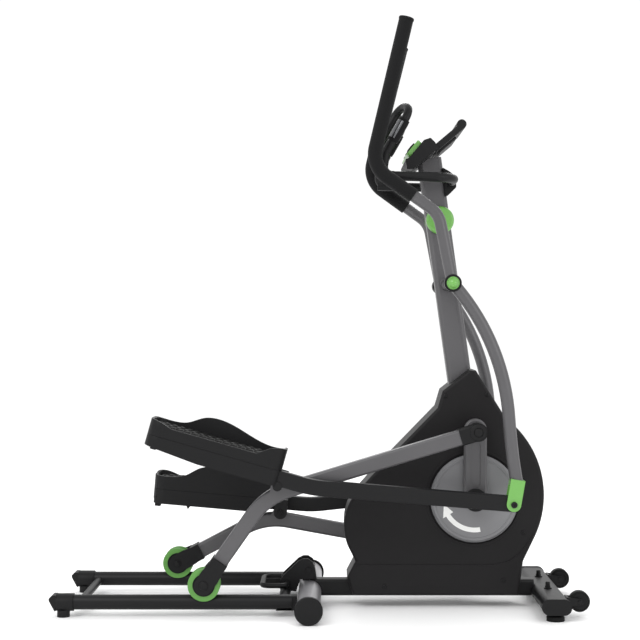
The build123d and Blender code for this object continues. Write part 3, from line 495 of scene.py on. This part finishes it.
def pedal_details(side, sign):
    """The cap and the nut at the front pivot of a pedal bar."""
    cap_sink = 0.0021
    nut_sink = 0.0003
    pivot = joint_at("pedal_pitch_" + side)
    out = Vector((0, sign, 0))
    low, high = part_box("pedal_bar_" + side)
    outer_y = low.y if sign < 0 else high.y
    seat = Vector((pivot.x, outer_y, pivot.z)) - out * cap_sink
    dome("pedal_pivot_cap_" + side, seat, out, 0.0125, 0.0062, "pedal_" + side, "black_plastic")
    inner_y = high.y if sign < 0 else low.y
    nut("pedal_pivot_nut_" + side, Vector((pivot.x, inner_y, pivot.z)) + out * nut_sink, -out,
        0.0066, "pedal_" + side, "black_metal")


def tray_axes(node_name):
    """The middle, lengthwise direction, normal and half sizes of a flat node that leans in XZ."""
    co = np.array([v.co for v in frame["nodes"][node_name].data.vertices], float)
    middle = (co.min(0) + co.max(0)) / 2
    flat = co[:, [0, 2]] - co[:, [0, 2]].mean(0)
    along = np.linalg.svd(flat, full_matrices=False)[2][0]
    if along[0] < 0:
        along = -along
    normal = np.array((-along[1], along[0]))
    reach = co[:, [0, 2]] @ along
    rise = co[:, [0, 2]] @ normal
    centre = along * (reach.max() + reach.min()) / 2 + normal * rise.min()
    return {
        "centre": Vector((centre[0], middle[1], centre[1])),
        "along": Vector((along[0], 0, along[1])),
        "normal": Vector((normal[0], 0, normal[1])),
        "length": reach.max() - reach.min(),
        "width": co[:, 1].max() - co[:, 1].min(),
        "height": rise.max() - rise.min(),
    }


def tread(side):
    """The rubber mat of a foot tray: rows of wavy ribs inside a raised border."""
    pad = tray_axes("pedal_pad_" + side)
    half_length = pad["length"] / 2
    half_width = pad["width"] / 2
    corner = 0.023
    columns = 300
    rows = 92
    rib_pitch = 0.0215
    base = 0.0046
    top = pad["height"]
    across = Vector((0, 1, 0))
    verts = []
    for column in range(columns + 1):
        for row in range(rows + 1):
            u = (2 * column / columns - 1) * half_length
            v = (2 * row / rows - 1) * half_width
            over_u = abs(u) - (half_length - corner)
            over_v = abs(v) - (half_width - corner)
            if over_u > 0 and over_v > 0:
                reach = max(over_u, over_v) / max(1e-9, math.hypot(over_u, over_v))
                u = math.copysign(half_length - corner + over_u * reach, u)
                v = math.copysign(half_width - corner + over_v * reach, v)
            height = tread_height(u, v, half_length, half_width, corner, rib_pitch, base, top)
            verts.append(pad["centre"] + pad["along"] * u + across * v + pad["normal"] * height)
    stride = rows + 1
    faces = []
    for column in range(columns):
        for row in range(rows):
            first = column * stride + row
            faces.append((first, first + stride, first + stride + 1, first + 1))
    edge = list(range(stride))
    edge += [column * stride + rows for column in range(1, columns + 1)]
    edge += [columns * stride + row for row in reversed(range(rows))]
    edge += [column * stride for column in reversed(range(1, columns))]
    count = len(verts)
    for index in edge:
        point = verts[index]
        lift = (point - pad["centre"]).dot(pad["normal"])
        verts.append(point - pad["normal"] * lift)
    for step in range(len(edge)):
        after = (step + 1) % len(edge)
        faces.append((edge[step], edge[after], count + after, count + step))
    faces.append(tuple(reversed(range(count, count + len(edge)))))
    mesh = closed_mesh("tread_" + side, verts, faces)
    mat = piece("tread_" + side, mesh, "pedal_" + side, "rubber", smooth_angle=60)
    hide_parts("pedal_pad_" + side)


def ease(value):
    """A smooth step from 0 to 1."""
    value = min(1.0, max(0.0, value))
    return value * value * (3 - 2 * value)


def tread_height(u, v, half_length, half_width, corner, rib_pitch, base, top):
    """How high the mat stands at u along it and v across it, for a mat of the given measures."""
    edge_round = 0.0022
    field_inset = 0.009
    field_slope = 0.002
    wave_height = 0.006
    channel_at = 0.36  # of the half width
    channel_half = 0.0016
    channel_slope = 0.0012
    border_start = 0.0025
    border_end = 0.007
    border_slope = 0.0015
    border_share = 0.45  # of the ribs' height over the base
    over_u = max(0.0, abs(u) - (half_length - corner))
    over_v = max(0.0, abs(v) - (half_width - corner))
    to_edge = corner - math.hypot(over_u, over_v)
    if not (over_u and over_v):
        to_edge = min(to_edge, half_length - abs(u), half_width - abs(v))
    rim = ease(to_edge / edge_round)
    field = ease((to_edge - field_inset) / field_slope)
    wave = wave_height * math.cos(v / half_width * math.tau)
    phase = math.cos((u + wave) / rib_pitch * math.tau)
    rib = ease((phase + 0.15) / 0.5)
    channel = ease((abs(abs(v) - half_width * channel_at) - channel_half) / channel_slope)
    flat = base * rim
    past_start = ease((to_edge - border_start) / border_slope)
    past_end = ease((to_edge - border_end) / border_slope)
    border = (top - base) * border_share * past_start * (1 - past_end)
    return flat + border + (top - base) * field * rib * channel


def sill_top(x):
    """Height over the seam of a tray's outer wall, at a distance x from the heel."""
    low = 0.029
    heel_rise = 0.012
    toe_rise = 0.025
    heel_end = 0.062
    toe_start = 0.290
    run = 0.044
    if x < heel_end:
        return low + heel_rise * ease((heel_end - x) / run)
    return low + toe_rise * ease((x - toe_start) / run)


def tray_sill(side, sign):
    """The low outer wall of a foot tray, with an even top edge between its heel and its toe."""
    pad = tray_axes("pedal_pad_" + side)
    deck = 0.024  # over the seam
    foot = -0.021  # from the deck
    half_tray = 0.185
    heel = 0.034
    toe = 0.334
    inner = 0.0628  # from the middle of the tray
    outer = 0.0704
    steps = 48
    outline = [(heel - half_tray, foot), (toe - half_tray, foot)]
    for step in range(steps + 1):
        x = toe - (toe - heel) * step / steps
        outline.append((x - half_tray, sill_top(x) - deck))

    def place(u, v, w):
        return pad["centre"] + pad["along"] * u + pad["normal"] * v + Vector((0, sign * w, 0))

    prism("tray_sill_" + side, outline, inner, outer, place, "pedal_" + side, "black_plastic",
          bevel=0.0012)


def swing_details(side, sign):
    """The bolt head on the clevis and the dark sleeves on each side of the arm's pivot hub."""
    ear = 0.019  # radius of the clevis round its bolt
    bolt_sink = 0.0002
    arm_plane = 0.215  # from the middle of the machine
    half_hub = 0.0165  # of the arm at its pivot, where the sleeves start
    out = Vector((0, sign, 0))
    low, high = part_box("swing_clevis_" + side)
    outer_y = low.y if sign < 0 else high.y
    pin = Vector((low.x + ear, outer_y - sign * bolt_sink, low.z + ear))
    bolt("clevis_bolt_" + side, pin, out, 0.0086, "swing_" + side, "black_metal", height=0.0042)
    pivot = joint_at("handlebar_%s_swing" % side)
    arm_y = sign * arm_plane
    for end in (-1, 1):
        seat = Vector((pivot.x, arm_y + end * half_hub, pivot.z))
        profile = [(0, 0.0150), (0, 0.0226), (0.0012, 0.0232), (0.0020, 0.0226), (0.0020, 0.0150)]
        lathe("pivot_sleeve_%s_%s" % (side, "in" if end * sign < 0 else "out"), seat,
              Vector((0, end, 0)), profile, "swing_" + side, "black_plastic")


for side_name, side_sign in SIDES.items():
    roller_details(side_name, side_sign)
    pedal_details(side_name, side_sign)
    tread(side_name)
    tray_sill(side_name, side_sign)
    swing_details(side_name, side_sign)


# ---------------------------------------------------------------- frame details

def frame_screws():
    """Socket heads on the shroud's screw seats, which are the thin round solids of the bolts."""
    thin = 0.004
    round_within = 0.001
    sink = 0.0019
    count = 0
    for low, high in islands("frame_bolts"):
        size = high - low
        middle = (low + high) / 2
        if size.y < thin and abs(size.x - size.z) < round_within:
            sign = 1 if middle.y > 0 else -1
            seat = Vector((middle.x, high.y if sign > 0 else low.y, middle.z))
            seat.y -= sign * sink
            count += 1
            bolt("shroud_screw_%02d" % count, seat, Vector((0, sign, 0)), 0.0056, "root", "steel",
                 "black_metal", height=0.0034)


def weld_beads():
    """The welds where the handlebars' pivot tube meets the mast."""
    pivot = joint_at("handlebar_right_swing")
    low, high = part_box("mast")
    half = (high.y - low.y) / 2
    for side, sign in SIDES.items():
        centre = Vector((pivot.x, sign * half, pivot.z))
        bead("mast_weld_" + side, centre, (0, 1, 0), radius=0.0172, thickness=0.0018, body="root")


def transport_wheel_caps():
    """The hub disc at each face of the two transport wheels."""
    for side in SIDES:
        centre = joint_at("transport_wheel_spin_" + side)
        low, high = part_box("transport_wheel_" + side)
        for end, y in (("in", low.y), ("out", high.y)):
            out = Vector((0, 1 if y > centre.y else -1, 0))
            profile = [(-0.0002, 0.0205), (0.0005, 0.0202), (0.0005, 0.017), (0.0001, 0.0165),
                       (0.0001, 0.0105), (0.0008, 0.0100), (0.0008, 0.0070), (0.0000, 0.0066)]
            lathe("transport_hub_%s_%s" % (side, end), Vector((centre.x, y, centre.z)), out, profile,
                  "transport_wheel_" + side, "rubber", "black_plastic")


def shroud_trim():
    """A raised ring on the shroud round each crank disc."""
    hub = joint_at("crank_spin")
    disc_low, disc_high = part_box("crank_disc_right")
    radius = (disc_high.z - disc_low.z) / 2
    for side, sign in SIDES.items():
        low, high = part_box("shroud_" + side)
        face = low.y if sign < 0 else high.y
        section = [(-0.0004, radius + 0.012), (0.0012, radius + 0.0112), (0.0018, radius + 0.006),
                   (-0.0004, radius + 0.003)]
        centre = Vector((hub.x, face, hub.z))
        ring = disc_ring("shroud_ring_" + side, centre, Vector((0, sign, 0)), section)
        ring.data.materials[0] = MATERIALS["shroud_plastic"]
        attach(ring, "root")


def panel_directions():
    """The way the console's panel faces, and the way up along it."""
    out = -Vector(JOINTS["button_start_press"]["axis"]).normalized()
    up = Vector((0, 1, 0)).cross(out)
    return out, up if up.z > 0 else -up


def reach_along(node_name, direction):
    """How far a CAD node reaches in a direction, measured from the origin."""
    return max(Vector(vert.co).dot(direction) for vert in frame["nodes"][node_name].data.vertices)


def on_panel(origin, out, up):
    """A map that takes (across, up, out) from a point of the panel to the frame."""
    def place(u, v, w):
        return origin + Vector((0, -u, 0)) + up * v + out * w
    return place


def console_details():
    """A plain symbol on each key and a bezel round it."""
    sink = -0.0002
    thick = 0.0006
    bar_length = 0.0125
    bar_width = 0.0028
    bar_corner = 0.0010
    corner_steps = 4
    out, up = panel_directions()
    for key, symbol in (("minus", "bar"), ("start", "triangle"), ("plus", "cross")):
        low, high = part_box("button_" + key)
        middle = (low + high) / 2
        top = reach_along("button_" + key, out)
        place = on_panel(middle + out * (top - middle.dot(out)), out, up)
        if symbol == "triangle":
            outline = [(-0.0042, -0.0055), (0.0062, 0), (-0.0042, 0.0055)]
        else:
            outline = rounded_rectangle(bar_length, bar_width, bar_corner, corner_steps)
        prism("key_symbol_" + key, outline, sink, thick, place, "button_" + key, "black_plastic",
              "white_print", bevel=0)
        if symbol == "cross":
            outline = rounded_rectangle(bar_width, bar_length, bar_corner, corner_steps)
            prism("key_symbol_upright", outline, sink, thick + 0.0001, place, "button_" + key,
                  "black_plastic", "white_print", bevel=0)
        face = reach_along("console_panel", out)
        seat = middle + out * (face - middle.dot(out))
        section = [(-0.0003, 0.0192), (0.0009, 0.0188), (0.0012, 0.0176), (0.0009, 0.0164),
                   (-0.0003, 0.0160)]
        bezel = disc_ring("key_bezel_" + key, seat, out, section)
        bezel.data.materials[0] = MATERIALS["black_plastic"]
        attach(bezel, "root")


def display_windows():
    """Two small dark display windows set in the console's panel, between the keys."""
    out, up = panel_directions()
    keys = {}
    for key in ("minus", "start", "plus"):
        low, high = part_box("button_" + key)
        keys[key] = (low + high) / 2
    face = reach_along("console_panel", out)
    for name, ends in (("right", ("minus", "start")), ("left", ("start", "plus"))):
        middle = (keys[ends[0]] + keys[ends[1]]) / 2
        seat = middle + out * (face - middle.dot(out))
        place = on_panel(seat, out, up)
        prism("display_frame_" + name, rounded_rectangle(0.040, 0.026, 0.004), -0.0003, 0.0009,
              place, "root", "black_plastic")
        prism("display_window_" + name, rounded_rectangle(0.034, 0.020, 0.002), 0.0004, 0.0011,
              place, "root", "black_plastic", "dark_gloss", bevel=0)


def pulse_sensors():
    """Two steel contact plates on each pulse grip."""
    length = 0.052
    chamfer = 0.001
    inner_radius = 0.0148
    edge_radius = 0.01545
    outer_radius = 0.01565
    thick_x = 0.026  # what the leaning grip's thickness adds to its box
    thick_z = 0.015
    plates = (("front", (-52, 52)), ("back", (128, 232)))  # degrees round the grip
    profile = [(-length / 2, inner_radius), (-length / 2, edge_radius),
               (-length / 2 + chamfer, outer_radius), (length / 2 - chamfer, outer_radius),
               (length / 2, edge_radius), (length / 2, inner_radius)]
    for index, (low, high) in enumerate(sorted(islands("pulse_grips"), key=lambda pair: pair[0].y)):
        name = "right" if index == 0 else "left"
        middle = (low + high) / 2
        span = high - low
        axis = Vector((span.x - thick_x, 0, span.z - thick_z)).normalized()
        for part, arc in plates:
            lathe("pulse_plate_%s_%s" % (name, part), middle, axis, profile, "root", "steel", "sensor",
                  segments=24, arc=arc)


frame_screws()
weld_beads()
transport_wheel_caps()
shroud_trim()
console_details()
display_windows()
pulse_sensors()

SOFTENED = ["main_tube", "mast", "rail_end_caps", "fold_bracket", "wheel_brackets", "front_feet",
            "handlebar_clamp", "console_panel", "tablet_rest", "flywheel_bracket"]
for side_name in SIDES:
    SOFTENED += ["crank_arm_" + side_name, "roller_arm_ends_" + side_name, "pedal_bar_" + side_name,
                 "pedal_tray_" + side_name, "swing_clevis_" + side_name, "roller_wheel_" + side_name]
for node_name in SOFTENED:
    soften(node_name)


# ---------------------------------------------------------------- floor, light and camera

def floor():
    """A wide pale floor under the machine."""
    half = 9.0
    mesh = bpy.data.meshes.new("floor")
    corners = [(-half, -half, 0), (half, -half, 0), (half, half, 0), (-half, half, 0)]
    mesh.from_pydata(corners, [], [(0, 1, 2, 3)])
    obj = bpy.data.objects.new("floor", mesh)
    bpy.context.scene.collection.objects.link(obj)
    finish = material("pale_floor", colour(255, 255, 255), 0.8, grain=60, bump=0.0, shift=0.0)
    mesh.materials.append(finish)


def area_light(name, at, target, width, height, power):
    """A rectangular light at one place, turned to another."""
    data = bpy.data.lights.new(name, "AREA")
    data.shape = "RECTANGLE"
    data.size = width
    data.size_y = height
    data.energy = power
    obj = bpy.data.objects.new(name, data)
    obj.location = at
    obj.rotation_euler = (Vector(target) - Vector(at)).to_track_quat("-Z", "Y").to_euler()
    bpy.context.scene.collection.objects.link(obj)


def studio():
    """An even white sky, with a key light, a fill light and a rim light."""
    world = bpy.data.worlds.new("studio")
    bpy.context.scene.world = world
    world.use_nodes = True
    sky = world.node_tree.nodes["Background"]
    sky.inputs["Color"].default_value = (1, 1, 1, 1)
    sky.inputs["Strength"].default_value = 1.05
    area_light("key", at=(-1.6, -2.6, 3.0), target=(0.1, 0, 0.7), width=2.2, height=1.6, power=60)
    area_light("fill", at=(2.6, -2.2, 1.6), target=(0.1, 0, 0.7), width=1.6, height=1.6, power=18)
    area_light("rim", at=(0.6, 2.8, 2.8), target=(0.1, 0, 0.8), width=2.4, height=1.2, power=50)


def camera():
    """A level side view from the right, from four metres away."""
    distance = 4.0
    eye_height = 0.809
    along = 0.027
    data = bpy.data.cameras.new("camera")
    data.sensor_width = 36.0
    data.lens = 80.27
    data.shift_x = -0.015625
    data.shift_y = -0.0078125
    data.clip_end = 60
    obj = bpy.data.objects.new("camera", data)
    obj.location = (along, -distance, eye_height)
    obj.rotation_euler = (math.radians(90), 0, 0)
    bpy.context.scene.collection.objects.link(obj)
    bpy.context.scene.camera = obj


floor()
studio()
camera()
bpy.context.scene.view_settings.view_transform = "Standard"
